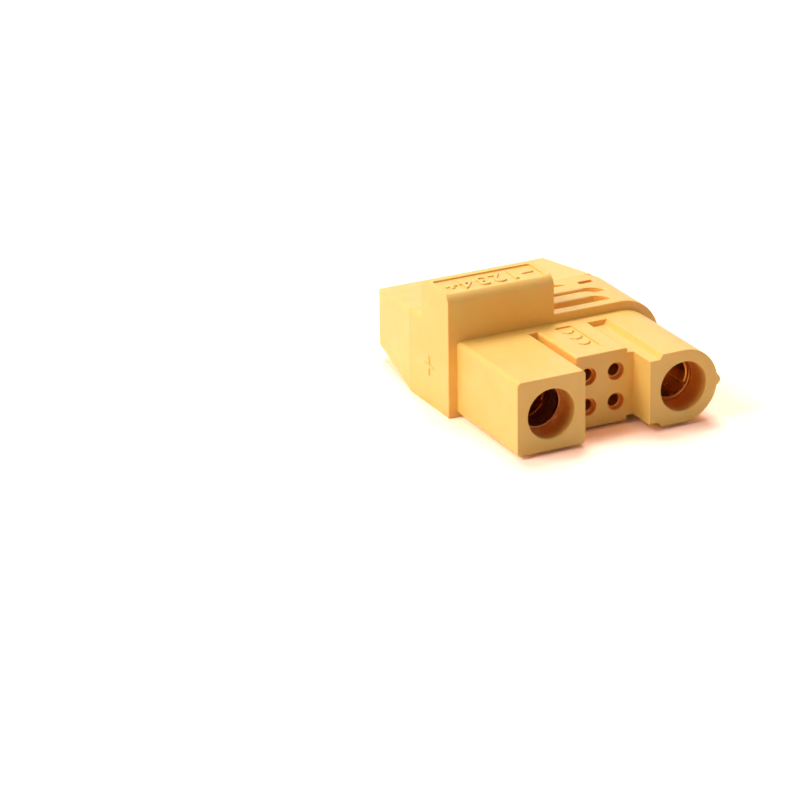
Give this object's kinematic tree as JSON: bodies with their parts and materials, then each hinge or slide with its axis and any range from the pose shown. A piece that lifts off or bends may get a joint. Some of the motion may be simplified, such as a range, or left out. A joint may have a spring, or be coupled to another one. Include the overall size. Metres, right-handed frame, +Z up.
{
  "type": "battery connector",
  "caption": "Keyed battery power connector, socket half, with a square and a rounded tower, signal sockets, finger grips and a snap-in rear cap over solder cups.",
  "frame": {"origin": "middle of the bounding box's base, on the surface that the connector rests on", "axes": "+X across both power sockets from the square tower to the round one, +Y from the mating face to the wires, +Z up towards the key rib"},
  "size_m": [0.0344, 0.0444, 0.0189],
  "materials": {
    "housing_plastic": "fine-grained moulded nylon",
    "cap_plastic": "fine-grained moulded nylon",
    "power_contact_brass": "gold-plated, fine turning lines",
    "ring_brass": "gold-plated, bright",
    "spring_alloy": "rolled sheet, gold-flashed",
    "signal_brass": "gold-plated, satin",
    "insulator_plastic": "dark moulded plastic",
    "resistor_body": "lacquered"
  },
  "bodies": {
    "housing": {"front_housing": "housing_plastic", "positive_precharge_ring": "ring_brass", "positive_insulator_sleeve": "insulator_plastic", "precharge_resistor": "resistor_body", "positive_socket": "power_contact_brass", "positive_spring_sleeve": "spring_alloy", "negative_socket": "power_contact_brass", "negative_spring_sleeve": "spring_alloy", "signal_socket_1": "signal_brass", "signal_socket_2": "signal_brass", "signal_socket_3": "signal_brass", "signal_socket_4": "signal_brass", "signal_clip_1": "spring_alloy", "signal_clip_2": "spring_alloy", "signal_clip_3": "spring_alloy", "signal_clip_4": "spring_alloy"},
    "cap": {"rear_cap": "cap_plastic"}
  },
  "joints": [
    {"name": "cap_slide", "type": "slide", "parent": "housing", "child": "cap", "axis": [0, 1, 0], "range_m": [0, 0.02]}
  ]
}
